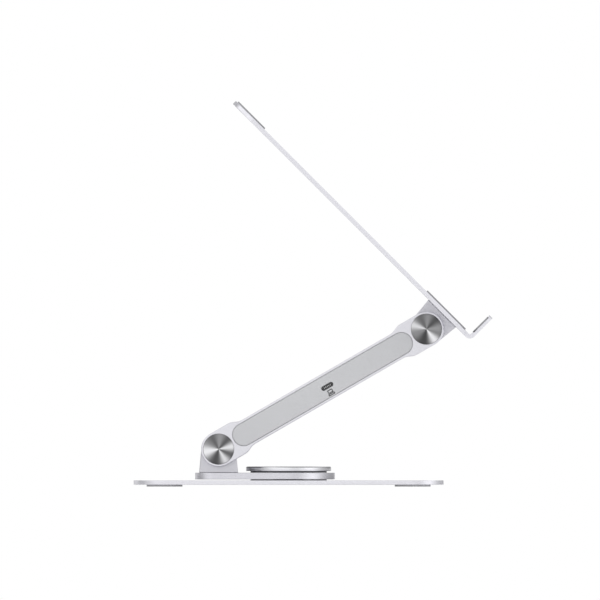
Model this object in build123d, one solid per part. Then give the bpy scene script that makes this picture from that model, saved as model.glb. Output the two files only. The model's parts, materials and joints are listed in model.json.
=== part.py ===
from build123d import *
from math import acos, atan2, cos, hypot, radians, sin
import os

# Laptop stand with a swivelling foot, a two-hinge arm that holds a connector hub, and a tray.
# Millimetres. +Z up, +X towards the user, origin where the swivel axis meets the desk.
# The user's left hand is on the -Y side.

os.makedirs("parts", exist_ok=True)

# Base plate and feet
base_length = 248.0
base_width = 220.0
base_thickness = 3.5
base_corner = 24.0
base_edge = 0.35
foot_radius = 14.35
foot_height = 1.5
foot_inset = 24.75
foot_edge = 0.35

# Swivel
spindle_radius = 12.0
spigot_radius = 6.0
spindle_screw_circle = 9.3
spindle_screw_length = 7.8
cap_screw_length = 13.2
ring_radius = 30.5
cap_radius = 34.0
cap_thickness = 3.6
cap_top_edge = 1.1
cap_spring_pocket = (24.3, 1.0)
lower_ring_height = 0.75
upper_ring_height = 1.3
slide_gap = 0.05
spring_inner_radius = 13.0
spring_outer_radius = 24.0
spring_thickness = 0.4
swivel_plate_rear = -74.8
swivel_plate_radius = 37.0
swivel_plate_corner = 14.0
swivel_plate_top = 11.15
swivel_plate_edge = 0.5

# Hinges
hinge_x = -56.0
hinge_z = 30.0
arm_length = 192.0
arm_angle = 30.0
tray_angle = 45.0
block_radius = 13.8
block_foot = 15.6
block_width = 40.8
block_edge = 0.4
block_screw_spacing = (9.0, 12.0)
block_screw_depth = 8.0
axle_radius = 4.0
axle_head = (7.0, 2.6)
nut_radius = 7.4
hinge_key_radius = 2.8
washer_radius = 11.0
disc_spring_radius = 9.0
disc_spring_rise = 1.62
bush_radius = 5.5
bush_length = 8.0
washer_thickness = 0.5

# Arm
arm_width = 60.0
arm_half_depth = 10.9
arm_edge = 0.6
lobe_radius = 14.0
lobe_length = 16.0
lobe_blend_end = 28.0
ear_thickness = 9.0
slot_end = 16.6
cap_pocket_radius = 12.45
cap_pocket_depth = 6.4
hinge_cap_radius = 12.25
hinge_cap_thickness = 1.4
hinge_cap_wall = 1.2
hinge_cap_edge = 0.25
panel_length = 163.6
panel_width = 17.8
panel_thickness = 1.6
panel_edge = 0.45
panel_gap = 0.3
cavity_length = 144.0
cavity_height = 14.6
board_top = -1.7
board_thickness = 1.6
board_length = 128.0
board_width = 46.0
rib_spacing = 56.0
rib_size = (7.0, 40.0)
rib_sink = 0.3
board_screw_side = 15.0
board_screw_length = 4.0
board_screw_head = 1.1
# Chips: place along the arm, place across it, length, width, height
chips = ((100.0, 6.0, 9.0, 9.0, 0.9), (74.0, -6.0, 7.0, 7.0, 0.9), (128.0, -4.0, 6.0, 5.0, 1.8))

# Connectors, all at their standard sizes: (width, height, depth)
port_recess = 0.4
port_wall = 0.3
port_corner = 0.6
port_back = 0.4
tongue_recess = 0.7
tongue_inset = 2.2
tongue_root_depth = 1.6
laptop_port_along = 100.4
power_port_along = 44.0
usb_along = (66.0, 88.0)
display_port_along = 114.0
type_c_size = (8.94, 3.26, 7.4)
type_a_size = (13.2, 5.7, 14.0)
display_size = (15.0, 5.55, 11.5)

# Tray
tray_underside = 17.8
tray_thickness = 3.6
tray_rear = 236.9
tray_front = 23.7
tray_width = 240.0
tray_rear_corner = 20.0
tray_front_corner = 10.0
tray_edge = 0.5
window_rear = 190.0
window_front = 46.0
window_width = 150.0
window_corner = 18.0
pad_thickness = 1.2
pad_edge = 0.5
pad_corner = 6.0
rear_pad_margin = 1.8
rear_pad_front = -204.8
front_pad_span = (-21.3, 22.2)
front_pad_width = 212.0
hook_offset = 70.0
hook_width = 40.0
hook_outer = 31.3
hook_tip = 43.5
hook_bend = 1.2
hook_corner = 7.0
hook_root = 6.0
hook_pad_proud = 0.2
hook_pad_sunk = 1.2
hook_pad_height = 16.9
hook_pad_corner = 6.0
hook_pad_middle = 33.2
hook_pad_edge = 0.3

# Fasteners: shank radius, head radius
fit = 0.03
m2 = (1.0, 1.9)
m3 = (1.5, 3.0)
m4 = (2.0, 3.9)
m5 = (2.5, 4.8)
swivel_block_screw_length = 13.0
tray_block_screw_length = 11.0
clear = 20.0

base_top = foot_height + base_thickness
swivel_plate_bottom = base_top + lower_ring_height + slide_gap
ear_inner = arm_width / 2 - ear_thickness
tray_top = tray_underside + tray_thickness
upper_hinge_x = hinge_x + arm_length * cos(radians(arm_angle))
upper_hinge_z = hinge_z + arm_length * sin(radians(arm_angle))
cap_bottom = swivel_plate_top + slide_gap + upper_ring_height


def save(name, *solids):
    shape = solids[0] if len(solids) == 1 else Compound(children=list(solids))
    shape.label = name
    export_step(shape, f"parts/{name}.step")


def on_arm(shape):
    # Arm space has the lower hinge axis at the origin and +X along the arm.
    return Pos(hinge_x, 0, hinge_z) * Rot(0, -arm_angle, 0) * shape


def on_tray(shape):
    # Tray space has the upper hinge axis at the origin, +X to the hooks and +Z out of the tray.
    return Pos(upper_hinge_x, 0, upper_hinge_z) * Rot(0, tray_angle, 0) * shape


def across(face, low, high):
    # A face drawn in (X, Z) as (x, y), extruded from Y = low to Y = high.
    return Pos(0, high, 0) * Rot(90, 0, 0) * extrude(face, amount=high - low)


def ring(outer, inner, low, high):
    return Pos(0, 0, low) * extrude(Circle(outer) - Circle(inner), amount=high - low)


def rounded_plate(width, depth, corner, thickness):
    return extrude(RectangleRounded(width, depth, corner), amount=thickness)


def y_cylinder(radius, low, high, x=0.0, z=0.0):
    return Pos(x, high, z) * Rot(90, 0, 0) * extrude(Circle(radius), amount=high - low)


def screw(size, length, loose=0.0):
    # Countersunk screw with its head's flat at z = 0, pointing up; loose makes its hole.
    shank, head = size
    body = extrude(Circle(shank + loose), amount=length + loose)
    body += Solid.make_cone(head + loose, shank + loose, head - shank)
    if loose:
        return body
    socket = extrude(RegularPolygon(shank * 0.62, 6), amount=shank * 0.8)
    return body - socket


def base_plate():
    plate = rounded_plate(base_length, base_width, base_corner, base_thickness)
    plate = fillet(plate.faces().sort_by(Axis.Z)[-1].edges(), base_edge)
    plate = fillet(plate.faces().sort_by(Axis.Z)[0].edges(), base_edge)
    plate = Pos(0, 0, foot_height) * plate
    plate -= Pos(0, 0, foot_height) * extrude(Circle(spigot_radius + fit), amount=base_thickness)
    for place in spindle_screw_places():
        plate -= place * screw(m3, base_thickness + 2, fit)
    return plate


def foot(x, y):
    pad = extrude(Circle(foot_radius), amount=foot_height)
    pad = chamfer(pad.faces().sort_by(Axis.Z)[0].edges(), foot_edge)
    return Pos(x, y, 0) * pad


def spindle_screw_places():
    return [Rot(0, 0, 45 + 90 * i) * Pos(spindle_screw_circle, 0, foot_height) for i in range(4)]


def spindle():
    post = Pos(0, 0, base_top) * extrude(Circle(spindle_radius), amount=cap_bottom - base_top)
    post += Pos(0, 0, foot_height) * extrude(Circle(spigot_radius), amount=base_thickness)
    post -= Pos(0, 0, foot_height) * screw(m5, clear, fit)
    for place in spindle_screw_places():
        post -= place * screw(m3, spindle_screw_length + 0.2, fit)
    return post


def swivel_cap():
    disc = extrude(Circle(cap_radius), amount=cap_thickness)
    disc = fillet(disc.faces().sort_by(Axis.Z)[-1].edges(), cap_top_edge)
    disc = chamfer(disc.faces().sort_by(Axis.Z)[0].edges(), 0.3)
    disc = Pos(0, 0, cap_bottom) * disc
    pocket_radius, pocket_depth = cap_spring_pocket
    disc -= ring(pocket_radius, spindle_radius + 0.6, cap_bottom, cap_bottom + pocket_depth)
    return disc - Pos(0, 0, foot_height) * screw(m5, cap_screw_length + 0.1, fit)


def swivel_spring():
    low = cap_bottom + 0.04
    inner, outer, thick = spring_inner_radius, spring_outer_radius, spring_thickness
    inner_edge = [(inner, low), (inner, low + thick)]
    outer_edge = [(outer, low + 2 * thick), (outer, low + thick)]
    profile = Polygon(*inner_edge, *outer_edge, align=None)
    return revolve(Plane.XZ * profile, Axis.Z)


def block_screw_places():
    x, y = block_screw_spacing
    return [Pos(x_side * x, y_side * y, 0) for x_side in (-1, 1) for y_side in (-1, 1)]


def swivel_plate():
    # Square at the hinge end, and a half round about the swivel axis at the other.
    outline = Sketch() + Circle(swivel_plate_radius)
    outline += Pos(swivel_plate_rear / 2, 0) * Rectangle(-swivel_plate_rear, 2 * swivel_plate_radius)
    outline = fillet(outline.vertices().sort_by(Axis.X)[:2], swivel_plate_corner)
    plate = extrude(outline, amount=swivel_plate_top - swivel_plate_bottom)
    plate = fillet(plate.faces().sort_by(Axis.Z)[-1].edges(), swivel_plate_edge)
    plate = chamfer(plate.faces().sort_by(Axis.Z)[0].edges(), 0.3)
    plate = Pos(0, 0, swivel_plate_bottom) * plate
    plate -= Pos(0, 0, swivel_plate_bottom) * extrude(Circle(spindle_radius + slide_gap), amount=clear)
    for place in block_screw_places():
        plate -= Pos(hinge_x, 0, swivel_plate_bottom) * place * screw(m4, clear, fit)
    return plate


def hinge_block(foot_depth):
    # A tongue that narrows from its foot to the round about the hinge axis, with its foot down.
    reach = hypot(block_foot, foot_depth)
    tangent = atan2(-foot_depth, block_foot) + acos(block_radius / reach)
    touch_x = block_radius * cos(tangent)
    touch_z = block_radius * sin(tangent)
    sides = Polygon(
        (-block_foot, -foot_depth),
        (block_foot, -foot_depth),
        (touch_x, touch_z),
        (-touch_x, touch_z),
        align=None,
    )
    half = block_width / 2
    block = across(Sketch() + sides + Circle(block_radius), -half, half)
    block = chamfer(block.faces().sort_by(Axis.Y)[0].edges(), block_edge)
    block = chamfer(block.faces().sort_by(Axis.Y)[-1].edges(), block_edge)
    block = chamfer(block.faces().sort_by(Axis.Z)[0].edges(), 0.3)
    block -= y_cylinder(axle_radius + 0.4, -half, half)
    for side in (-1, 1):
        low, high = sorted((side * (half - bush_length), side * half))
        block -= y_cylinder(bush_radius + fit, low, high)
    for place in block_screw_places():
        block -= Pos(0, 0, -foot_depth) * place * extrude(Circle(m4[0] + fit), amount=block_screw_depth)
    return block


def hinge_bushes():
    half = block_width / 2
    shell = y_cylinder(bush_radius, half - bush_length, half)
    shell -= y_cylinder(axle_radius + slide_gap, half - bush_length, half)
    return [shell, mirror(shell, Plane.XZ)]


def friction_washers():
    washer = y_cylinder(washer_radius, ear_inner - washer_thickness, ear_inner)
    washer -= y_cylinder(axle_radius + slide_gap, ear_inner - washer_thickness, ear_inner)
    return [washer, mirror(washer, Plane.XZ)]


def disc_springs():
    seat = arm_width / 2 - cap_pocket_depth
    profile = Polygon(
        (axle_radius + 0.1, seat + 0.7),
        (disc_spring_radius, seat + 0.02),
        (disc_spring_radius, seat + 0.92),
        (axle_radius + 0.1, seat + 1.6),
        align=None,
    )
    spring = revolve(Plane.XY * profile, Axis.Y)
    return [spring, mirror(spring, Plane.XZ)]


def hinge_axle():
    # Round head on the user's right, shank through both ears, thread end on the left.
    seat = arm_width / 2 - cap_pocket_depth + disc_spring_rise
    head_radius, head_height = axle_head
    axle = y_cylinder(axle_radius, -seat - head_height - 0.4, seat)
    axle += y_cylinder(head_radius, seat, seat + head_height)
    return axle - across(RegularPolygon(hinge_key_radius, 6), seat + 1.0, seat + head_height)


def hinge_nut():
    seat = arm_width / 2 - cap_pocket_depth + disc_spring_rise
    height = axle_head[1]
    nut = across(RegularPolygon(nut_radius, 6), -seat - height, -seat)
    return nut - y_cylinder(axle_radius + fit, -seat - height, -seat)


def hinge_cap(side):
    outer = arm_width / 2
    face = y_cylinder(hinge_cap_radius, outer - hinge_cap_thickness, outer)
    face = chamfer(face.faces().sort_by(Axis.Y)[-1].edges(), hinge_cap_edge)
    skirt_low = outer - cap_pocket_depth + 0.05
    skirt = y_cylinder(hinge_cap_radius, skirt_low, outer - hinge_cap_thickness)
    skirt -= y_cylinder(hinge_cap_radius - hinge_cap_wall, skirt_low, outer - hinge_cap_thickness)
    cap = face + skirt
    return cap if side > 0 else mirror(cap, Plane.XZ)


def arm_outline():
    blend = (lobe_length + lobe_blend_end) / 2
    wide = lobe_radius
    slim = arm_half_depth
    far = arm_length
    upper = [
        Line((0, wide), (lobe_length, wide)),
        Bezier((lobe_length, wide), (blend, wide), (blend, slim), (lobe_blend_end, slim)),
        Line((lobe_blend_end, slim), (far - lobe_blend_end, slim)),
        Bezier(
            (far - lobe_blend_end, slim), (far - blend, slim), (far - blend, wide), (far - lobe_length, wide)
        ),
        Line((far - lobe_length, wide), (far, wide)),
    ]
    lower = [mirror(edge, Plane.XZ) for edge in upper]
    ends = [
        ThreePointArc((0, wide), (-wide, 0), (0, -wide)),
        ThreePointArc((far, wide), (far + wide, 0), (far, -wide)),
    ]
    return make_face(Curve() + upper + lower + ends)


def stadium(length, width, x=0.0, z=0.0):
    return Pos(x, z) * SlotOverall(length, width)


def arm_frame():
    outer = arm_width / 2
    frame = across(arm_outline(), -outer, outer)
    frame = fillet(frame.faces().sort_by(Axis.Y)[0].edges(), arm_edge)
    frame = fillet(frame.faces().sort_by(Axis.Y)[-1].edges(), arm_edge)
    reach = lobe_radius + 2
    slot = Box(slot_end + reach, 2 * ear_inner, 2 * reach)
    frame -= Pos((slot_end - reach) / 2, 0, 0) * slot
    frame -= Pos(arm_length - (slot_end - reach) / 2, 0, 0) * slot
    for x in (0, arm_length):
        frame -= y_cylinder(axle_radius + fit, -outer, outer, x)
        frame -= y_cylinder(cap_pocket_radius, -outer, -outer + cap_pocket_depth, x)
        frame -= y_cylinder(cap_pocket_radius, outer - cap_pocket_depth, outer, x)
    middle = arm_length / 2
    pocket = stadium(panel_length + 2 * panel_gap, panel_width + 2 * panel_gap, middle)
    frame -= across(pocket, -outer, -outer + panel_thickness)
    frame -= across(pocket, outer - panel_thickness, outer)
    frame -= across(stadium(cavity_length, cavity_height, middle), -outer, outer)
    for x in board_rib_places():
        floor = -cavity_height / 2
        height = board_top - board_thickness - floor
        rib = Box(rib_size[0], rib_size[1], height + 2 * rib_sink)
        frame += Pos(x, 0, floor + height / 2 - rib_sink) * rib
    for place in board_screw_places():
        frame -= place * extrude(Circle(m2[0] + fit), amount=-board_screw_length - 0.6)
    return frame


def board_rib_places():
    return [arm_length / 2 - rib_spacing, arm_length / 2 + rib_spacing]


def board_screw_places():
    low = board_top - board_thickness
    return [Pos(x, y, low) for x in board_rib_places() for y in (-board_screw_side, board_screw_side)]


def hub_board():
    middle = Pos(arm_length / 2, 0, board_top - board_thickness / 2)
    board = middle * Box(board_length, board_width, board_thickness)
    for place in board_screw_places():
        board -= place * extrude(Circle(m2[0] + fit), amount=board_thickness)
    return board


def board_screws():
    screws = []
    for place in board_screw_places():
        shank = extrude(Circle(m2[0]), amount=board_thickness + board_screw_length)
        head = extrude(Circle(m2[1]), amount=board_screw_head)
        head -= Pos(0, 0, board_screw_head / 2) * extrude(RegularPolygon(0.7, 6), amount=board_screw_head)
        shape = Pos(0, 0, -board_screw_length) * shank + Pos(0, 0, board_thickness) * head
        screws.append(place * shape)
    return screws


def hub_chips():
    return [Pos(x, y, board_top + high / 2) * Box(length, width, high) for x, y, length, width, high in chips]


def port_outline(size, grow=0.0):
    # Connector mouth outline: a stadium for the reversible one, a rounded box for the others.
    width, height = size[0] + 2 * grow, size[1] + 2 * grow
    if size == type_c_size:
        return SlotOverall(width, height)
    return RectangleRounded(width, height, port_corner + grow)


def port_height(size):
    # The shell stands on the board, and the reversible one sits on the arm's centre line.
    return board_top + 0.02 + size[1] / 2 + (0.05 if size == type_c_size else 0.0)


def port_shell(along, size, side):
    mouth = arm_width / 2 - port_recess
    back = mouth - size[2]
    place = Pos(along, port_height(size))
    shell = across(place * port_outline(size), back, mouth)
    shell -= across(place * port_outline(size, -port_wall), back + port_back, mouth)
    return shell if side > 0 else mirror(shell, Plane.XZ)


def port_tongue(along, size, side):
    mouth = arm_width / 2 - port_recess - tongue_recess
    back = arm_width / 2 - port_recess - size[2] + port_back
    width = size[0] - tongue_inset
    thick = 0.7 if size == type_c_size else 1.9
    shift = 0.0 if size == type_c_size else 0.9
    shape = across(Pos(along, port_height(size) + shift) * Rectangle(width, thick), back, mouth)
    root = Pos(along, port_height(size)) * port_outline(size, -port_wall - 0.04)
    shape += across(root, back, back + tongue_root_depth)
    return shape if side > 0 else mirror(shape, Plane.XZ)


def side_panel(side, ports):
    outer = arm_width / 2
    panel = across(stadium(panel_length, panel_width, arm_length / 2), outer - panel_thickness, outer)
    panel = chamfer(panel.faces().sort_by(Axis.Y)[-1].edges(), panel_edge)
    for along, size in ports:
        grow = 0.8 if size == type_c_size else 0.5
        width, height = size[0] + 2 * grow, size[1] + 0.6
        hole = SlotOverall(width, height) if size == type_c_size else RectangleRounded(width, height, 1.0)
        panel -= across(Pos(along, port_height(size)) * hole, outer - panel_thickness, outer)
    return panel if side > 0 else mirror(panel, Plane.XZ)


def panel_gasket(side):
    outer = arm_width / 2
    middle = arm_length / 2
    width = panel_width + 2 * panel_gap - 0.04
    length = panel_length + 2 * panel_gap - 0.04
    inner = stadium(panel_length + 0.04, panel_width + 0.04, middle)
    gasket = across(stadium(length, width, middle) - inner, outer - panel_thickness, outer - 0.3)
    return gasket if side > 0 else mirror(gasket, Plane.XZ)


def tray_window():
    length = window_rear - window_front
    middle = -(window_rear + window_front) / 2
    return Pos(middle, 0) * RectangleRounded(length, window_width, window_corner)


def tray_outline():
    outline = Sketch() + Pos((tray_front - tray_rear) / 2, 0) * Rectangle(tray_rear + tray_front, tray_width)
    corners = outline.vertices().sort_by(Axis.X)
    outline = fillet(corners[:2], tray_rear_corner)
    return fillet(outline.vertices().sort_by(Axis.X)[-2:], tray_front_corner)


def tray_hook(y):
    inner = hook_outer - tray_thickness
    bend_x = inner - hook_bend
    bend_z = tray_underside + tray_thickness + hook_bend
    root = tray_front - hook_root
    edges = [
        Line((root, tray_underside), (bend_x, tray_underside)),
        CenterArc((bend_x, bend_z), hook_bend + tray_thickness, -90, 90),
        Line((hook_outer, bend_z), (hook_outer, hook_tip)),
        Line((hook_outer, hook_tip), (inner, hook_tip)),
        Line((inner, hook_tip), (inner, bend_z)),
        CenterArc((bend_x, bend_z), hook_bend, 0, -90),
        Line((bend_x, tray_top), (root, tray_top)),
        Line((root, tray_top), (root, tray_underside)),
    ]
    hook = across(make_face(Curve() + edges), y - hook_width / 2, y + hook_width / 2)
    tip = hook.edges().filter_by(Axis.X).group_by(Axis.Z)[-1]
    hook = fillet(tip, hook_corner)
    # The seat of the pad is open at both sides of the hook.
    seat = Box(2 * hook_pad_sunk, hook_width + 2, hook_pad_height + 0.1)
    return hook - Pos(inner, y, hook_pad_middle) * seat


def tray_plate():
    plate = Pos(0, 0, tray_underside) * extrude(tray_outline(), amount=tray_thickness)
    plate -= Pos(0, 0, tray_underside) * extrude(tray_window(), amount=tray_thickness)
    plate = fillet(plate.faces().sort_by(Axis.Z)[-1].edges(), tray_edge)
    plate = fillet(plate.faces().sort_by(Axis.Z)[0].edges(), tray_edge)
    for y in (-hook_offset, hook_offset):
        plate += tray_hook(y)
    for place in block_screw_places():
        plate -= Pos(0, 0, tray_top) * Rot(180, 0, 0) * place * screw(m4, clear, fit)
    return plate


def tray_pad(rear, front, width, rear_corner):
    outline = Sketch() + Pos((front + rear) / 2, 0) * Rectangle(front - rear, width)
    outline = fillet(outline.vertices().sort_by(Axis.X)[:2], rear_corner)
    outline = fillet(outline.vertices().sort_by(Axis.X)[-2:], pad_corner)
    pad = Pos(0, 0, tray_top) * extrude(outline, amount=pad_thickness)
    return fillet(pad.faces().sort_by(Axis.Z)[-1].edges(), pad_edge)


def hook_pad(y):
    inner = hook_outer - tray_thickness
    outline = RectangleRounded(hook_pad_height, hook_width, hook_pad_corner)
    pad = extrude(outline, amount=hook_pad_sunk + hook_pad_proud)
    pad = fillet(pad.faces().sort_by(Axis.Z)[0].edges(), hook_pad_edge)
    return Pos(inner - hook_pad_proud, y, hook_pad_middle) * Rot(0, 90, 0) * pad


def block_screws(bottom, length):
    return [Pos(0, 0, bottom) * place * screw(m4, length) for place in block_screw_places()]


# Base
save("base_plate", base_plate())
for x_side, x_name in ((1, "front"), (-1, "rear")):
    for y_side, y_name in ((-1, "left"), (1, "right")):
        foot_x = x_side * (base_length / 2 - foot_inset)
        foot_y = y_side * (base_width / 2 - foot_inset)
        save(f"foot_{x_name}_{y_name}", foot(foot_x, foot_y))
save("spindle", spindle())
save("spindle_screws", *[place * screw(m3, spindle_screw_length) for place in spindle_screw_places()])
save("cap_screw", Pos(0, 0, foot_height) * screw(m5, cap_screw_length))
ring_bore = spindle_radius + slide_gap
save("lower_slip_ring", ring(ring_radius, ring_bore, base_top, base_top + lower_ring_height))
save("upper_slip_ring", ring(ring_radius, ring_bore, cap_bottom - upper_ring_height, cap_bottom))
save("swivel_spring", swivel_spring())
save("swivel_cap", swivel_cap())

# Turntable
save("swivel_plate", swivel_plate())
lower_foot_depth = hinge_z - swivel_plate_top
to_lower_hinge = Pos(hinge_x, 0, hinge_z)
save("lower_hinge_block", to_lower_hinge * hinge_block(lower_foot_depth))
lower_screws = block_screws(swivel_plate_bottom, swivel_block_screw_length)
save("lower_block_screws", *[Pos(hinge_x, 0, 0) * s for s in lower_screws])
save("lower_hinge_bushes", *[to_lower_hinge * s for s in hinge_bushes()])

# Arm
save("arm_frame", on_arm(arm_frame()))
for name, along in (("lower", 0.0), ("upper", arm_length)):
    at_hinge = Pos(along, 0, 0)
    save(f"{name}_hinge_axle", on_arm(at_hinge * hinge_axle()))
    save(f"{name}_hinge_nut", on_arm(at_hinge * hinge_nut()))
    save(f"{name}_hinge_disc_springs", *[on_arm(at_hinge * s) for s in disc_springs()])
    save(f"{name}_hinge_washers", *[on_arm(at_hinge * s) for s in friction_washers()])
    save(f"{name}_cap_left", on_arm(at_hinge * hinge_cap(-1)))
    save(f"{name}_cap_right", on_arm(at_hinge * hinge_cap(1)))

left_ports = [(laptop_port_along, type_c_size)]
right_ports = [(power_port_along, type_c_size), (display_port_along, display_size)]
right_ports += [(along, type_a_size) for along in usb_along]
save("left_panel", on_arm(side_panel(-1, left_ports)))
save("right_panel", on_arm(side_panel(1, right_ports)))
save("left_panel_gasket", on_arm(panel_gasket(-1)))
save("right_panel_gasket", on_arm(panel_gasket(1)))
save("hub_board", on_arm(hub_board()))
save("hub_chips", *[on_arm(chip) for chip in hub_chips()])
save("board_screws", *[on_arm(s) for s in board_screws()])
save("laptop_port_shell", on_arm(port_shell(laptop_port_along, type_c_size, -1)))
save("laptop_port_tongue", on_arm(port_tongue(laptop_port_along, type_c_size, -1)))
save("power_port_shell", on_arm(port_shell(power_port_along, type_c_size, 1)))
save("power_port_tongue", on_arm(port_tongue(power_port_along, type_c_size, 1)))
save("display_port_shell", on_arm(port_shell(display_port_along, display_size, 1)))
save("display_port_tongue", on_arm(port_tongue(display_port_along, display_size, 1)))
save("usb_port_shells", *[on_arm(port_shell(along, type_a_size, 1)) for along in usb_along])
save("usb_port_tongues", *[on_arm(port_tongue(along, type_a_size, 1)) for along in usb_along])

# Tray
save("tray_plate", on_tray(tray_plate()))
save("upper_hinge_block", on_tray(Rot(0, 180, 0) * hinge_block(tray_underside)))
upper_screws = [Rot(180, 0, 0) * s for s in block_screws(-tray_top, tray_block_screw_length)]
save("upper_block_screws", *[on_tray(s) for s in upper_screws])
save("upper_hinge_bushes", *[on_tray(s) for s in hinge_bushes()])
rear_edge = -tray_rear + rear_pad_margin
rear_width = tray_width - 2 * rear_pad_margin
rear_corner = tray_rear_corner - rear_pad_margin
save("rear_tray_pad", on_tray(tray_pad(rear_edge, rear_pad_front, rear_width, rear_corner)))
save("front_tray_pad", on_tray(tray_pad(*front_pad_span, front_pad_width, pad_corner)))
save("left_hook_pad", on_tray(hook_pad(-hook_offset)))
save("right_hook_pad", on_tray(hook_pad(hook_offset)))
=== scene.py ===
import json
import math
import bpy
from mathutils import Matrix, Vector


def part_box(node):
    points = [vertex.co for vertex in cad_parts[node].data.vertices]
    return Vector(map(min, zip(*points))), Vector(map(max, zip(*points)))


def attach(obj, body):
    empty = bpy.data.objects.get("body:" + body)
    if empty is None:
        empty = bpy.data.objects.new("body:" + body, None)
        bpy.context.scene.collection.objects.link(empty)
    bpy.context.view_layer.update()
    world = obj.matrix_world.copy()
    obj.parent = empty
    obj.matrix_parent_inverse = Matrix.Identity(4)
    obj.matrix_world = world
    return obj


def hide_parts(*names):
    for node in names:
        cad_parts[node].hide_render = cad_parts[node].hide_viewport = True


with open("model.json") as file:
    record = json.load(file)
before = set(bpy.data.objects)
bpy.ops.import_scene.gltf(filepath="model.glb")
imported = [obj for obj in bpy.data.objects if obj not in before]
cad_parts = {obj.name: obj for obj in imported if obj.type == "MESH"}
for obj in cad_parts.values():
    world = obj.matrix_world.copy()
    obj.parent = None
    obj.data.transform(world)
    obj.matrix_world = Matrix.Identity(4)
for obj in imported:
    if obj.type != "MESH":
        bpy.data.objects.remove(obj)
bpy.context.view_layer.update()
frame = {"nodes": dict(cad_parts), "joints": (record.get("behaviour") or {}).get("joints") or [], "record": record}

# Laptop stand: swivelling base, two-hinge arm with a connector hub, hooked tray.
# Metres, +Z up, +X towards the user, the user's left hand is on the -Y side.

mm = 0.001
near = 1e-6  # closer than this counts as touching
faceOn = 0.9  # a face looks along an axis when its normal has more than this of it
joints = {joint["name"]: joint for joint in frame["joints"]}
mounts = {mount["name"]: mount for mount in frame["record"]["mounts"]}
lowerHinge = Vector(joints["arm_lift"]["pos_m"])
upperHinge = Vector(joints["tray_tilt"]["pos_m"])
armAngle = math.atan2(upperHinge.z - lowerHinge.z, upperHinge.x - lowerHinge.x)
trayNormal = Vector(mounts["laptop_rest"]["axis"])
trayAngle = math.atan2(trayNormal.x, trayNormal.z)

# arm space: X along the arm from the lower hinge, Z across it. tray space: X to the hooks, Z out of the tray.
armSpace = Matrix.Translation(lowerHinge) @ Matrix.Rotation(-armAngle, 4, "Y")
traySpace = Matrix.Translation(upperHinge) @ Matrix.Rotation(trayAngle, 4, "Y")


class Wire:
    # a shader socket that can be used in an expression
    def __init__(self, graph, socket):
        self.graph = graph
        self.socket = socket

    def maths(self, operation, left, right=0.0):
        return self.graph.maths(operation, left, right)

    def __add__(self, other):
        return self.maths("ADD", self, other)

    def __radd__(self, other):
        return self.maths("ADD", other, self)

    def __sub__(self, other):
        return self.maths("SUBTRACT", self, other)

    def __rsub__(self, other):
        return self.maths("SUBTRACT", other, self)

    def __mul__(self, other):
        return self.maths("MULTIPLY", self, other)

    def __rmul__(self, other):
        return self.maths("MULTIPLY", other, self)

    def __truediv__(self, other):
        return self.maths("DIVIDE", self, other)

    def __rtruediv__(self, other):
        return self.maths("DIVIDE", other, self)

    def __pow__(self, other):
        return self.maths("POWER", self, other)

    def __rpow__(self, other):
        return self.maths("POWER", other, self)

    def floored(self, low=0.0):
        return self.maths("MAXIMUM", self, low)

    def root(self):
        return self.maths("SQRT", self)

    def wave(self):
        return self.maths("SINE", self)

    def band(self, low, high):
        # 0 below low, 1 above high, smooth between
        settings = {"interpolation_type": "SMOOTHSTEP"}
        values = {"Value": self, "From Min": low, "From Max": high}
        return self.graph.add("ShaderNodeMapRange", settings, values)


class Graph:
    # the node tree of a material or of the world
    def __init__(self, owner):
        owner.use_nodes = True
        self.tree = owner.node_tree
        self.tree.nodes.clear()

    def add(self, kind, settings=None, values=None, output=0):
        node = self.tree.nodes.new(kind)
        for key, value in (settings or {}).items():
            if key == "stops":
                self.setStops(node.color_ramp, value)
            else:
                setattr(node, key, value)
        for key, value in (values or {}).items():
            if isinstance(value, Wire):
                self.tree.links.new(value.socket, node.inputs[key])
            else:
                node.inputs[key].default_value = value
        if output is None:
            return node
        return Wire(self, node.outputs[output])

    def maths(self, operation, left, right=0.0):
        return self.add("ShaderNodeMath", {"operation": operation}, {0: left, 1: right})

    def setStops(self, ramp, stops):
        while len(ramp.elements) < len(stops):
            ramp.elements.new(0.5)
        for element, (place, colour) in zip(ramp.elements, stops):
            element.position = place
            element.color = colour

    def coordinates(self, offset=(0, 0, 0), turn=(0, 0, 0)):
        # object coordinates seen from a frame at offset, turned by turn
        source = self.add("ShaderNodeTexCoord", output="Object")
        values = {"Vector": source, "Location": offset, "Rotation": turn}
        return self.add("ShaderNodeMapping", {"vector_type": "TEXTURE"}, values)

    def split(self, vector):
        node = self.add("ShaderNodeSeparateXYZ", None, {"Vector": vector}, None)
        return [Wire(self, output) for output in node.outputs]

    def noise(self, vector, scale, detail=2.0, roughness=0.5):
        values = {"Vector": vector, "Scale": scale, "Detail": detail, "Roughness": roughness}
        return self.add("ShaderNodeTexNoise", None, values)

    def blend(self, first, second, factor):
        node = self.add("ShaderNodeMix", {"data_type": "RGBA"}, None, None)
        self.put(node.inputs[0], factor)
        self.put(node.inputs[6], first)
        self.put(node.inputs[7], second)
        return Wire(self, node.outputs[2])

    def tint(self, colour, value):
        # a colour made darker or brighter by a value
        return self.add("ShaderNodeVectorMath", {"operation": "SCALE"}, {0: colour[:3], "Scale": value})

    def put(self, socket, value):
        if isinstance(value, Wire):
            self.tree.links.new(value.socket, socket)
        else:
            socket.default_value = value

    def bump(self, height, strength, distance):
        values = {"Height": height, "Strength": strength, "Distance": distance}
        return self.add("ShaderNodeBump", None, values)

    def surface(self, values):
        shader = self.add("ShaderNodeBsdfPrincipled", None, values)
        self.add("ShaderNodeOutputMaterial", None, {"Surface": shader}, None)


def material(name):
    made = bpy.data.materials.new(name)
    return made, Graph(made)


def rgb(red, green, blue):
    return (red, green, blue, 1.0)


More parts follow.
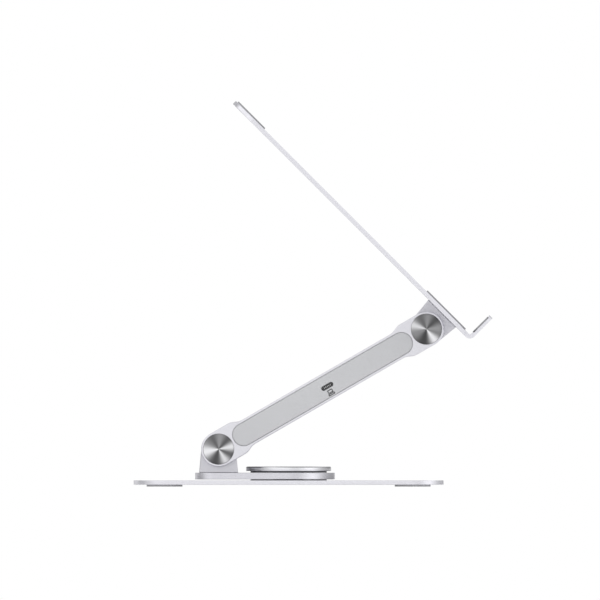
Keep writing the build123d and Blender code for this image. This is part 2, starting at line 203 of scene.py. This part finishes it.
# In the finishes below a size is in noise cells per metre and a depth is the bump's, in metres. A gain
# says how far a pattern moves the colour, and a drift how far it moves the roughness.
aluminiumLook = {
    "grainSize": 3800.0,  # bead blasting of about a quarter of a millimetre
    "grainDepth": 0.00001,
    "grainStrength": 0.14,
    "grainDrift": 0.1,
    "cloudSize": 9.0,
    "cloudGain": 0.03,
    "cloudDrift": 0.04,
    "speckleSize": 1330.0,
    "speckleGain": 0.018,
}


def blastedAluminium(name, colour, roughness=0.27):
    made, graph = material(name)
    look = aluminiumLook
    place = graph.coordinates()
    grain = graph.noise(place, look["grainSize"], 3.0, 0.6)
    cloud = graph.noise(place, look["cloudSize"])
    speckle = graph.noise(place, look["speckleSize"])
    level = (cloud - 0.5) * look["cloudGain"] + (speckle - 0.5) * look["speckleGain"] + 1.0
    graph.surface({
        "Base Color": graph.tint(colour, level),
        "Metallic": 1.0,
        "Roughness": roughness + (grain - 0.5) * look["grainDrift"] + (cloud - 0.5) * look["cloudDrift"],
        "Normal": graph.bump(grain, look["grainStrength"], look["grainDepth"]),
    })
    return made


spunLook = {
    "scratchSize": 9000.0,
    "scratchGain": 0.14,
    "ringGain": 0.02,
    "ringHeight": 0.6,  # of a groove, beside a scratch
    "level": 0.93,
    "roughness": 0.24,
    "scratchDrift": 0.1,
    "rimStart": 0.7,  # where the wall's look starts to show, as a part of the rim's depth
}


def spunMetalWithPaintedFans(name, centre, axis, colour, paintedFans, grooves, rim=None):
    # Metal turned on a lathe: fine rings about an axis, and fans of painted highlight in the base colour that
    # cross at its centre.
    # With a rim, the disc's wall has one wide fan of painted light where it is further behind the face than the
    # rim's depth.
    made, graph = material(name)
    look = spunLook
    x, y, z = graph.split(graph.coordinates(offset=centre))
    across, up, out = (x, z, 0.0 - y) if axis == "Y" else (x, y, z)
    radius = (across * across + up * up).root().floored(near)

    def facing(degrees):
        angle = math.radians(degrees)
        return (across * math.cos(angle) + up * math.sin(angle)) / radius

    # paintedLight: highlights painted into the base colour, a floor level with one fan for each glint
    paintedLight = paintedFans["floor"]
    for degrees, strength, sharpness in paintedFans["paintedGlints"]:
        paintedLight = (facing(degrees).floored() ** sharpness) * strength + paintedLight
    # on the rim's wall the painted light becomes one painted level with a wide painted highlight towards
    # paintedBrightSide
    if rim:
        wall = (0.0 - out).band(rim["depth"] * look["rimStart"], rim["depth"])
        paintedLight = paintedLight + (facing(rim["paintedBrightSide"]) * rim["gain"] + rim["level"] - paintedLight) * wall
    rings = (radius * (2 * math.pi / grooves["pitch"])).wave()
    alongRadius = graph.add("ShaderNodeCombineXYZ", None, {"X": radius * look["scratchSize"]})
    scratch = graph.noise(alongRadius, 1.0, 3.0, 0.7)
    level = paintedLight * (look["level"] + scratch * look["scratchGain"] + rings * look["ringGain"])
    graph.surface({
        "Base Color": graph.tint(colour, level),
        "Metallic": 1.0,
        "Roughness": look["roughness"] + scratch * look["scratchDrift"],
        "Normal": graph.bump(rings * look["ringHeight"] + scratch, grooves["strength"], grooves["depth"]),
    })
    return made


steelLook = {
    "wearSize": 900.0,
    "wearGain": 0.1,
    "wearDrift": 0.2,
    "wearDepth": 0.00002,
    "wearStrength": 0.2,
    "patchSize": 72.0,
    "patchGain": 0.06,
    "level": 0.92,
}


def plainSteel(name, colour, roughness):
    made, graph = material(name)
    look = steelLook
    place = graph.coordinates()
    wear = graph.noise(place, look["wearSize"], 4.0, 0.6)
    patch = graph.noise(place, look["patchSize"])
    graph.surface({
        "Base Color": graph.tint(colour, look["level"] + wear * look["wearGain"] + patch * look["patchGain"]),
        "Metallic": 1.0,
        "Roughness": roughness + (wear - 0.5) * look["wearDrift"],
        "Normal": graph.bump(wear, look["wearStrength"], look["wearDepth"]),
    })
    return made


polymerLook = {
    "poreSize": 2200.0,
    "poreDepth": 0.00002,
    "poreStrength": 0.35,
    "poreGain": 0.08,
    "poreDrift": 0.14,
    "patchSize": 40.0,
    "patchGain": 0.05,
    "sheen": 0.0,
    "specular": 0.4,
    "glow": 0.0,
}


def softPolymer(name, colour, roughness, **changes):
    made, graph = material(name)
    look = {**polymerLook, **changes}
    place = graph.coordinates()
    pores = graph.noise(place, look["poreSize"], 4.0, 0.65)
    patch = graph.noise(place, look["patchSize"], 3.0)
    tone = graph.tint(colour, 1.0 + (pores - 0.5) * look["poreGain"] + (patch - 0.5) * look["patchGain"])
    graph.surface({
        "Base Color": tone,
        # emission here is painted light, a glow on a part that is no lamp, set by glow
        "Emission Color": tone,
        "Emission Strength": look["glow"],
        "Metallic": 0.0,
        "Roughness": roughness + (pores - 0.5) * look["poreDrift"],
        "Sheen Weight": look["sheen"],
        "Specular IOR Level": look["specular"],
        "Normal": graph.bump(pores, look["poreStrength"], look["poreDepth"]),
    })
    return made


boardLook = {
    "solderMask": rgb(0.02, 0.12, 0.07),
    "overCopper": rgb(0.05, 0.2, 0.11),
    "traces": (2600.0, 2100.0),  # radians per metre along and across the board
    "traceEdge": (0.35, 0.5),
    "traceDepth": 0.00003,
    "traceStrength": 0.3,
    "maskSize": 300.0,
    "roughness": 0.3,
    "maskDrift": 0.15,
}


def circuitBoard(name):
    made, graph = material(name)
    look = boardLook
    place = graph.coordinates(offset=lowerHinge, turn=(0, -armAngle, 0))
    along, across, up = graph.split(place)
    traces = (along * look["traces"][0]).wave() * (across * look["traces"][1]).wave()
    traces = traces.band(*look["traceEdge"])
    mask = graph.noise(place, look["maskSize"], 3.0)
    graph.surface({
        "Base Color": graph.blend(look["solderMask"], look["overCopper"], traces),
        "Roughness": look["roughness"] + mask * look["maskDrift"],
        "Normal": graph.bump(traces, look["traceStrength"], look["traceDepth"]),
    })
    return made


silver = (0.78, 0.776, 0.813)  # slightly lavender, as anodised


# a part's copy of the silver, scaled by level: below 1 it is painted shade, above 1 painted light, for how light
# falls on that part
def silverWithPaintedShade(level):
    return rgb(*[channel * level for channel in silver])


# paintedGlints: direction of each fan of painted highlight about the centre in degrees, its strength and its
# sharpness; floor is the painted level between the fans
lowerPaintedFans = {
    "floor": 0.09,
    "paintedGlints": [(190, 0.86, 7), (-59, 0.66, 16), (11, 0.74, 18), (84, 0.25, 10), (140, 0.12, 20)],
}
upperPaintedFans = {
    "floor": 0.07,
    "paintedGlints": [(163, 0.72, 16), (-53, 0.84, 14), (4, 0.28, 9), (84, 0.24, 10), (204, 0.22, 8),
               (130, 0.1, 20)],
}
hingeGrooves = {"pitch": 0.5 * mm, "strength": 0.35, "depth": 0.03 * mm}
# the swivel cap's painted fans of highlight, and on its wall a painted level with a painted highlight on one side
swivelPaintedFans = {"floor": 0.44, "paintedGlints": [(60, 0.3, 10), (-120, 0.3, 10), (150, 0.25, 12), (-30, 0.25, 12)]}
swivelGrooves = {"pitch": 0.9 * mm, "strength": 0.3, "depth": 0.03 * mm}
swivelPaintedRim = {"depth": 1.3 * mm, "level": 0.86, "gain": 0.12, "paintedBrightSide": 200}
swivelTop = Vector((0, 0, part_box("swivel_cap")[1].z))
hingeSilver = rgb(0.96, 0.96, 0.97)
swivelSilver = rgb(0.98, 0.98, 1.0)

materials = {
    # these aluminium parts share one finish; their different levels are painted shade and painted light
    "base_aluminium": blastedAluminium("baseAluminium", silverWithPaintedShade(1.0)),
    "turntable_aluminium": blastedAluminium("turntableAluminium", silverWithPaintedShade(0.9)),
    "block_aluminium": blastedAluminium("blockAluminium", silverWithPaintedShade(0.83), 0.32),
    "arm_aluminium": blastedAluminium("armAluminium", silverWithPaintedShade(0.97)),
    "tray_aluminium": blastedAluminium("trayAluminium", silverWithPaintedShade(1.02)),
    "turned_steel": plainSteel("turnedSteel", rgb(0.6, 0.6, 0.61), 0.3),
    "screw_steel": plainSteel("screwSteel", rgb(0.5, 0.5, 0.51), 0.34),
    "spring_steel": plainSteel("springSteel", rgb(0.34, 0.35, 0.4), 0.3),
    "axle_steel": plainSteel("axleSteel", rgb(0.5, 0.5, 0.51), 0.28),
    "bush_bronze": plainSteel("bushBronze", rgb(0.55, 0.38, 0.2), 0.4),
    "port_metal": plainSteel("portMetal", rgb(0.22, 0.22, 0.23), 0.3),
    "slip_ring_polymer": softPolymer("slipRingPolymer", rgb(0.14, 0.14, 0.15), 0.45, poreSize=1800.0),
    "washer_polymer": softPolymer("washerPolymer", rgb(0.08, 0.08, 0.085), 0.5, poreSize=1800.0),
    # the feet glow a little: painted light that keeps them from going dark in the slot under the base
    "foot_silicone": softPolymer("footSilicone", rgb(0.7, 0.7, 0.72), 0.5, poreDepth=0.03 * mm, sheen=0.1,
                                 glow=0.24),
    "pad_silicone": softPolymer("padSilicone", rgb(0.31, 0.31, 0.32), 0.68, poreDepth=0.03 * mm, sheen=0.1),
    "panel_grey": softPolymer("panelGrey", rgb(0.635, 0.64, 0.648), 0.42, poreSize=3000.0,
                              poreDepth=0.01 * mm, poreGain=0.02),
    # the gaskets' dark grey rubber shows in the gap round each panel, where it also stands in for that gap's shade
    "gasket_rubber": softPolymer("gasketRubberAndGapShade", rgb(0.3, 0.3, 0.305), 0.7, poreSize=2500.0),
    "port_polymer": softPolymer("portPolymer", rgb(0.015, 0.015, 0.016), 0.4, poreSize=2500.0,
                                poreDepth=0.01 * mm),
    "chip_epoxy": softPolymer("chipEpoxy", rgb(0.03, 0.03, 0.032), 0.5, poreSize=2500.0, poreDepth=0.01 * mm),
    "circuit_board": circuitBoard("circuitBoard"),
    "brushed_cap": spunMetalWithPaintedFans("swivelCapMetal", swivelTop, "Z", swivelSilver, swivelPaintedFans, swivelGrooves,
                             swivelPaintedRim),
    "spun_hinge_cap": spunMetalWithPaintedFans("lowerCapMetal", lowerHinge, "Y", hingeSilver, lowerPaintedFans, hingeGrooves),
}
upperCapMetal = spunMetalWithPaintedFans("upperCapMetal", upperHinge, "Y", hingeSilver, upperPaintedFans, hingeGrooves)
print("materials made:", len(materials))

slotOf = {part["node"]: part["material_slot"] for part in frame["record"]["subparts"]}
for node, piece in frame["nodes"].items():
    for slot in range(len(piece.data.materials)):
        piece.data.materials[slot] = materials[slotOf[node]]


def clearSelection():
    if bpy.context.object and bpy.context.object.mode != "OBJECT":
        bpy.ops.object.mode_set(mode="OBJECT")
    bpy.ops.object.select_all(action="DESELECT")


def pick(piece, chooseFace=None, chooseEdge=None):
    # selects faces by centre and normal, or edges by their two ends, and stays in edit mode
    bpy.ops.object.mode_set(mode="EDIT")
    bpy.ops.mesh.select_mode(type="FACE" if chooseFace else "EDGE")
    bpy.ops.mesh.select_all(action="DESELECT")
    bpy.ops.object.mode_set(mode="OBJECT")
    mesh = piece.data
    if chooseFace:
        for face in mesh.polygons:
            face.select = bool(chooseFace(face.center, face.normal))
    else:
        for edge in mesh.edges:
            ends = [mesh.vertices[index].co for index in edge.vertices]
            edge.select = bool(chooseEdge(*ends))
    bpy.ops.object.mode_set(mode="EDIT")


def startPiece(name):
    piece = bpy.context.object
    piece.name = name
    piece.data.name = name
    bpy.ops.object.transform_apply(location=True, rotation=True, scale=True)
    return piece


def finishPiece(piece, space, finish, body, replaced=(), angle=32):
    # smooths, moves the mesh to its place, gives it its material and hangs it on its body
    if bpy.context.object and bpy.context.object.mode != "OBJECT":
        bpy.ops.object.mode_set(mode="OBJECT")
    clearSelection()
    piece.select_set(True)
    bpy.context.view_layer.objects.active = piece
    bpy.ops.object.shade_smooth_by_angle(angle=math.radians(angle))
    piece.data.transform(space)
    piece.data.materials.clear()
    piece.data.materials.append(finish)
    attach(piece, body)
    if replaced:
        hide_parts(*replaced)
    clearSelection()
    return piece


def joinPieces(name, pieces):
    clearSelection()
    for piece in pieces:
        piece.select_set(True)
    bpy.context.view_layer.objects.active = pieces[0]
    bpy.ops.object.join()
    joined = bpy.context.object
    joined.name = name
    joined.data.name = name
    return joined


def copyPiece(piece, name):
    copied = piece.copy()
    copied.data = piece.data.copy()
    copied.name = copied.data.name = name
    bpy.context.scene.collection.objects.link(copied)
    return copied


def discard(piece):
    bpy.data.objects.remove(piece)


def turnedDisc(name, disc):
    # A disc that faces +Z: rim bevel, then rings cut with insets, then a dimple at the centre.
    clearSelection()
    height = disc["thickness"]
    bpy.ops.mesh.primitive_cylinder_add(vertices=disc["sides"], radius=disc["radius"], depth=height,
                                        location=(0, 0, -height / 2))
    piece = startPiece(name)
    pick(piece, chooseEdge=lambda a, b: a.z > -near and b.z > -near)
    bpy.ops.mesh.bevel(offset=disc["bevel"], segments=4, affect="EDGES")
    pick(piece, chooseEdge=lambda a, b: a.z < near - height and b.z < near - height)
    bpy.ops.mesh.bevel(offset=disc["underBevel"], segments=2, affect="EDGES")
    pick(piece, chooseFace=lambda centre, normal: normal.z > faceOn and centre.xy.length < 10 * near)
    for width, depth in disc["rings"]:
        bpy.ops.mesh.inset(thickness=width, depth=depth)
    bpy.ops.object.mode_set(mode="OBJECT")
    return piece


hingeCap = {
    "radius": (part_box("lower_cap_left")[1].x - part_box("lower_cap_left")[0].x) / 2,
    "thickness": 1.4 * mm,
    "bevel": 0.3 * mm,
    "underBevel": 0.12 * mm,
    "sides": 128,
    # each ring: its width, and how far it steps in or out
    "rings": [(0.5 * mm, 0.0), (0.12 * mm, -0.1 * mm), (0.5 * mm, 0.0), (0.12 * mm, 0.07 * mm)]
             + [(0.8 * mm, 0.012 * mm), (0.1 * mm, -0.012 * mm)] * 10
             + [(0.2 * mm, -0.16 * mm), (0.25 * mm, -0.1 * mm)],
}
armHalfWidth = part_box("arm_frame")[1].y

# the cap is turned once, and its copies face outwards, along -Y or +Y
capBlank = turnedDisc("hingeCapBlank", hingeCap)
hinges = (("lower", lowerHinge, materials["spun_hinge_cap"]), ("upper", upperHinge, upperCapMetal))
for end, hinge, finish in hinges:
    for side, sign in (("left", -1), ("right", 1)):
        outwards = Matrix.Rotation(-sign * math.pi / 2, 4, "X")
        place = Matrix.Translation(hinge + Vector((0, sign * armHalfWidth, 0))) @ outwards
        cap = copyPiece(capBlank, f"{end}HingeCap{side.title()}")
        finishPiece(cap, place, finish, "arm", [f"{end}_cap_{side}"], 20)
discard(capBlank)
print("hinge caps done")


swivelCap = {
    "radius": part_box("swivel_cap")[1].x,
    "thickness": swivelTop.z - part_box("swivel_cap")[0].z,
    "bevel": 1.0 * mm,
    "underBevel": 0.15 * mm,
    "sides": 192,
    "rings": [(1.6 * mm, 0.0), (0.3 * mm, -0.3 * mm), (0.7 * mm, 0.0), (0.3 * mm, 0.3 * mm)]
             + [(2.4 * mm, 0.015 * mm), (0.15 * mm, -0.015 * mm)] * 10
             + [(0.8 * mm, -0.2 * mm), (1.2 * mm, 0.0)],
}
swivelDisc = turnedDisc("swivelCapDisc", swivelCap)
finishPiece(swivelDisc, Matrix.Translation(swivelTop), materials["brushed_cap"], "base",
            ["swivel_cap"], 24)
print("swivel cap done")


# moulded silicone feet, with grip rings underneath
footDisc = {
    "radius": (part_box("foot_front_left")[1].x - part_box("foot_front_left")[0].x) / 2,
    "thickness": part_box("foot_front_left")[1].z,
    "bevel": 0.35 * mm,
    "underBevel": 0.14 * mm,
    "sides": 96,
    "rings": [(1.2 * mm, 0.0), (0.3 * mm, -0.3 * mm), (1.4 * mm, 0.0), (0.3 * mm, 0.3 * mm)] * 3,
}
footBlank = turnedDisc("footBlank", footDisc)
for node in sorted(frame["nodes"]):
    if node.startswith("foot_"):
        low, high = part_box(node)
        middle = Vector(((low.x + high.x) / 2, (low.y + high.y) / 2, 0))
        downwards = Matrix.Translation(middle) @ Matrix.Rotation(math.pi, 4, "X")
        words = node.split("_")
        foot = copyPiece(footBlank, "foot" + words[1].title() + words[2].title())
        finishPiece(foot, downwards, materials["foot_silicone"], "base", [node], 30)
discard(footBlank)
print("feet done")


# pads of the tray and the hooks, with soft edges and a shallow field pressed into each
pads = {
    "edge": 0.4 * mm,
    "border": 1.2 * mm,  # round the field
    "slope": 0.25 * mm,  # from the border down to the field
    "sink": 0.12 * mm,
    # corner radii, the two at the tray's far edge first
    "rear": (18.2 * mm, 6 * mm),
    "front": (6 * mm, 6 * mm),
    "hook": (6 * mm, 6 * mm),
}


def roundedSlab(name, size, corners):
    # A slab on z = 0: round corners in plan, first those at -X, soft top edges, a shallow field on top.
    clearSelection()
    length, width, height = size
    bpy.ops.mesh.primitive_cube_add(size=1, location=(0, 0, height / 2), scale=(length, width, height))
    piece = startPiece(name)
    for sign, corner in zip((-1, 1), corners):
        pick(piece, chooseEdge=lambda a, b: abs(a.z - b.z) > height / 2 and a.x * sign > length / 2 - near)
        bpy.ops.mesh.bevel(offset=corner, segments=12, affect="EDGES")
    top = height - near
    pick(piece, chooseEdge=lambda a, b: a.z > top and b.z > top)
    bpy.ops.mesh.bevel(offset=pads["edge"], segments=4, affect="EDGES")
    pick(piece, chooseFace=lambda centre, normal: normal.z > faceOn and centre.z > top)
    bpy.ops.mesh.inset(thickness=pads["border"], depth=0.0)
    bpy.ops.mesh.inset(thickness=pads["slope"], depth=-pads["sink"])
    bpy.ops.object.mode_set(mode="OBJECT")
    return piece


def localBox(node, space):
    # the box of a CAD node in a turned space
    inverse = space.inverted()
    places = [inverse @ vertex.co for vertex in frame["nodes"][node].data.vertices]
    low = Vector([min(place[axis] for place in places) for axis in range(3)])
    high = Vector([max(place[axis] for place in places) for axis in range(3)])
    return low, high


def addPad(name, node, corners, lying):
    # lying pads face out of the tray, the others face the tray from the hooks
    low, high = localBox(node, traySpace)
    middle = (low + high) / 2
    if lying:
        size = (high.x - low.x, high.y - low.y, high.z - low.z)
        place = traySpace @ Matrix.Translation((middle.x, middle.y, low.z))
    else:
        size = (high.z - low.z, high.y - low.y, high.x - low.x)
        facingTray = Matrix.Rotation(-math.pi / 2, 4, "Y")
        place = traySpace @ Matrix.Translation((high.x, middle.y, middle.z)) @ facingTray
    pad = roundedSlab(name, size, corners)
    finishPiece(pad, place, materials["pad_silicone"], "tray", [node], 30)


addPad("rearTrayPad", "rear_tray_pad", pads["rear"], True)
addPad("frontTrayPad", "front_tray_pad", pads["front"], True)
addPad("leftHookPad", "left_hook_pad", pads["hook"], False)
addPad("rightHookPad", "right_hook_pad", pads["hook"], False)
print("pads done")


# small laptop sign below the laptop port: a screen over a keyboard, both outlined
pictogram = {
    "along": 100.5 * mm,  # along the arm from the lower hinge
    "across": -5.75 * mm,  # below the arm's centre line
    # each outline: its width, its height, its corner radius, and how far it stands above the sign's middle
    "screen": (4.4 * mm, 2.9 * mm, 0.6 * mm, 1.3 * mm),
    "keyboard": (5.6 * mm, 1.8 * mm, 0.55 * mm, -1.25 * mm),
    "line": 0.65 * mm,
    "proud": 0.06 * mm,
}


def printedOutline(name, outline):
    # a thin rounded frame in the XZ plane
    width, height, corner, rise = outline
    proud = pictogram["proud"]
    clearSelection()
    bpy.ops.mesh.primitive_cube_add(size=1, location=(0, 0, rise), scale=(width, proud, height))
    piece = startPiece(name)
    pick(piece, chooseEdge=lambda a, b: abs(a.y - b.y) > proud / 2)
    bpy.ops.mesh.bevel(offset=corner, segments=5, affect="EDGES")
    pick(piece, chooseFace=lambda centre, normal: abs(normal.y) > faceOn)
    bpy.ops.mesh.inset(thickness=pictogram["line"], depth=0.0)
    bpy.ops.mesh.bridge_edge_loops()
    bpy.ops.object.mode_set(mode="OBJECT")
    return piece


inkBlack = softPolymer("inkBlack", rgb(0.012, 0.012, 0.013), 0.5, poreSize=3000.0, poreDepth=0.005 * mm)
screen = printedOutline("pictogramScreen", pictogram["screen"])
keyboard = printedOutline("pictogramKeyboard", pictogram["keyboard"])
laptopSign = joinPieces("laptopPictogram", [screen, keyboard])
signPlace = armSpace @ Matrix.Translation((pictogram["along"], -armHalfWidth, pictogram["across"]))
finishPiece(laptopSign, signPlace, inkBlack, "arm")
print("pictogram done")


# contacts on the tongue of the laptop port, seen end on
contacts = {
    "count": 5,
    "pitch": 1.4 * mm,
    "width": 0.55 * mm,
    "height": 1.5 * mm,
    "length": 3.0 * mm,
    "edge": 0.12 * mm,
    "proud": 0.05 * mm,  # in front of the tongue
}
portLow, portHigh = localBox("laptop_port_tongue", armSpace)
contactMetal = plainSteel("contactMetal", rgb(0.7, 0.7, 0.7), 0.35)
clearSelection()
bpy.ops.mesh.primitive_cube_add(size=1, location=(0, 0, 0),
                                scale=(contacts["width"], contacts["length"], contacts["height"]))
contactBlank = startPiece("contactBlank")
pick(contactBlank, chooseEdge=lambda a, b: a.y < 0 and b.y < 0)
bpy.ops.mesh.bevel(offset=contacts["edge"], segments=3, affect="EDGES")
bpy.ops.object.mode_set(mode="OBJECT")
contactRow = []
for index in range(contacts["count"]):
    contact = copyPiece(contactBlank, f"contact{index}")
    along = (index - (contacts["count"] - 1) / 2) * contacts["pitch"]
    contact.data.transform(Matrix.Translation((along, 0, 0)))
    contactRow.append(contact)
discard(contactBlank)
portMiddle = (portLow + portHigh) / 2
contactDepth = portLow.y + contacts["length"] / 2 - contacts["proud"]
contactPlace = armSpace @ Matrix.Translation((portMiddle.x, contactDepth, portMiddle.z))
finishPiece(joinPieces("laptopPortContacts", contactRow), contactPlace, contactMetal, "arm")
print("contacts done")


view = {
    "centre": Vector((9.1 * mm, 0, 149.3 * mm)),  # what the middle of the picture shows
    "width": 0.480,
    "distance": 2.0,
    "reach": 20.0,
}
cameraData = bpy.data.cameras.new("sideCamera")
cameraData.type = "ORTHO"
cameraData.ortho_scale = view["width"]
cameraData.clip_end = view["reach"]
camera = bpy.data.objects.new("sideCamera", cameraData)
bpy.context.scene.collection.objects.link(camera)
camera.location = view["centre"] - Vector((0, view["distance"], 0))
camera.rotation_euler = (math.pi / 2, 0, 0)
bpy.context.scene.camera = camera
bpy.context.scene.view_settings.view_transform = "Standard"

floorLook = {
    "size": 30,
    "dark": rgb(0.86, 0.86, 0.865),
    "pale": rgb(0.88, 0.88, 0.885),
    "patches": 1.5,  # per metre
    "roughness": 0.75,
}
clearSelection()
bpy.ops.mesh.primitive_plane_add(size=floorLook["size"], location=(0, 0, 0))
floor = bpy.context.object
floor.name = "paleFloor"
floorPaint, floorGraph = material("floorPaint")
floorTone = floorGraph.noise(floorGraph.coordinates(), floorLook["patches"])
floorGraph.surface({
    "Base Color": floorGraph.blend(floorLook["dark"], floorLook["pale"], floorTone),
    "Roughness": floorLook["roughness"],
})
floor.data.materials.append(floorPaint)

# a wide soft lamp above the stand, which isn't mirrored in the metal
overhead = {"place": Vector((0.1, -0.1, 1.6)), "target": Vector((0, 0, 0.1)), "size": 1.6, "power": 9.0}
lamp = bpy.data.lights.new("overheadBox", "AREA")
lamp.shape = "SQUARE"
lamp.size = overhead["size"]
lamp.energy = overhead["power"]
lampBox = bpy.data.objects.new("overheadBox", lamp)
bpy.context.scene.collection.objects.link(lampBox)
lampBox.location = overhead["place"]
lampBox.rotation_euler = (overhead["target"] - overhead["place"]).to_track_quat("-Z", "Y").to_euler()
lampBox.visible_camera = False
lampBox.visible_glossy = False

# How bright the studio is round the stand: its walls, above them its upper part, and its ceiling.
# Directions are in degrees from the camera's own side, positive to the right, and heights are the sine
# of the angle above the horizon at which one part gives way to the next.
studio = {
    "walls": [(-180, 0.9), (-168, 0.5), (-150, 0.62), (-134, 0.86), (-120, 0.56), (-104, 0.3), (-80, 0.36),
              (-62, 0.74), (-40, 1.08), (-16, 1.2), (0, 1.1), (17, 0.86), (30, 1.0), (46, 1.34), (60, 1.62),
              (74, 1.45), (92, 0.84), (112, 0.42), (150, 0.24), (172, 0.85), (180, 0.9)],
    "upper": [(-180, 0.7), (-160, 0.5), (-120, 0.55), (-95, 1.25), (-60, 1.15), (0, 1.0), (90, 1.0),
              (180, 0.8)],
    "ceiling": 0.68,
    "upperHeights": (0.3, 0.6),
    "ceilingHeights": (0.78, 0.95),
    "tone": rgb(0.99, 0.99, 1.0),
    "peak": 1.7,  # above every level here
}

world = bpy.data.worlds.new("studioWorld")
bpy.context.scene.world = world
studioGraph = Graph(world)
direction = studioGraph.add("ShaderNodeTexCoord", output="Generated")
right, away, upwards = studioGraph.split(direction)
turned = studioGraph.maths("ARCTAN2", right, 0.0 - away) / (2 * math.pi) + 0.5


def roundTheStand(levels):
    stops = [(degrees / 360 + 0.5, (level / studio["peak"],) * 3 + (1.0,)) for degrees, level in levels]
    ramp = studioGraph.add("ShaderNodeValToRGB", {"stops": stops}, {"Fac": turned})
    return studioGraph.split(ramp)[0] * studio["peak"]


wallLevel = roundTheStand(studio["walls"])
upperLevel = roundTheStand(studio["upper"])
studioLevel = wallLevel + (upperLevel - wallLevel) * upwards.band(*studio["upperHeights"])
studioLevel = studioLevel + (studio["ceiling"] - studioLevel) * upwards.band(*studio["ceilingHeights"])
background = studioGraph.add("ShaderNodeBackground", None, {"Color": studio["tone"], "Strength": studioLevel})
# the camera itself sees plain white behind the stand
backdrop = studioGraph.add("ShaderNodeBackground", None, {"Color": rgb(1.0, 1.0, 1.0), "Strength": 1.0})
seen = studioGraph.add("ShaderNodeLightPath", output="Is Camera Ray")
mixed = studioGraph.add("ShaderNodeMixShader", None, {0: seen, 1: background, 2: backdrop})
studioGraph.add("ShaderNodeOutputWorld", None, {"Surface": mixed}, None)
print("studio done")
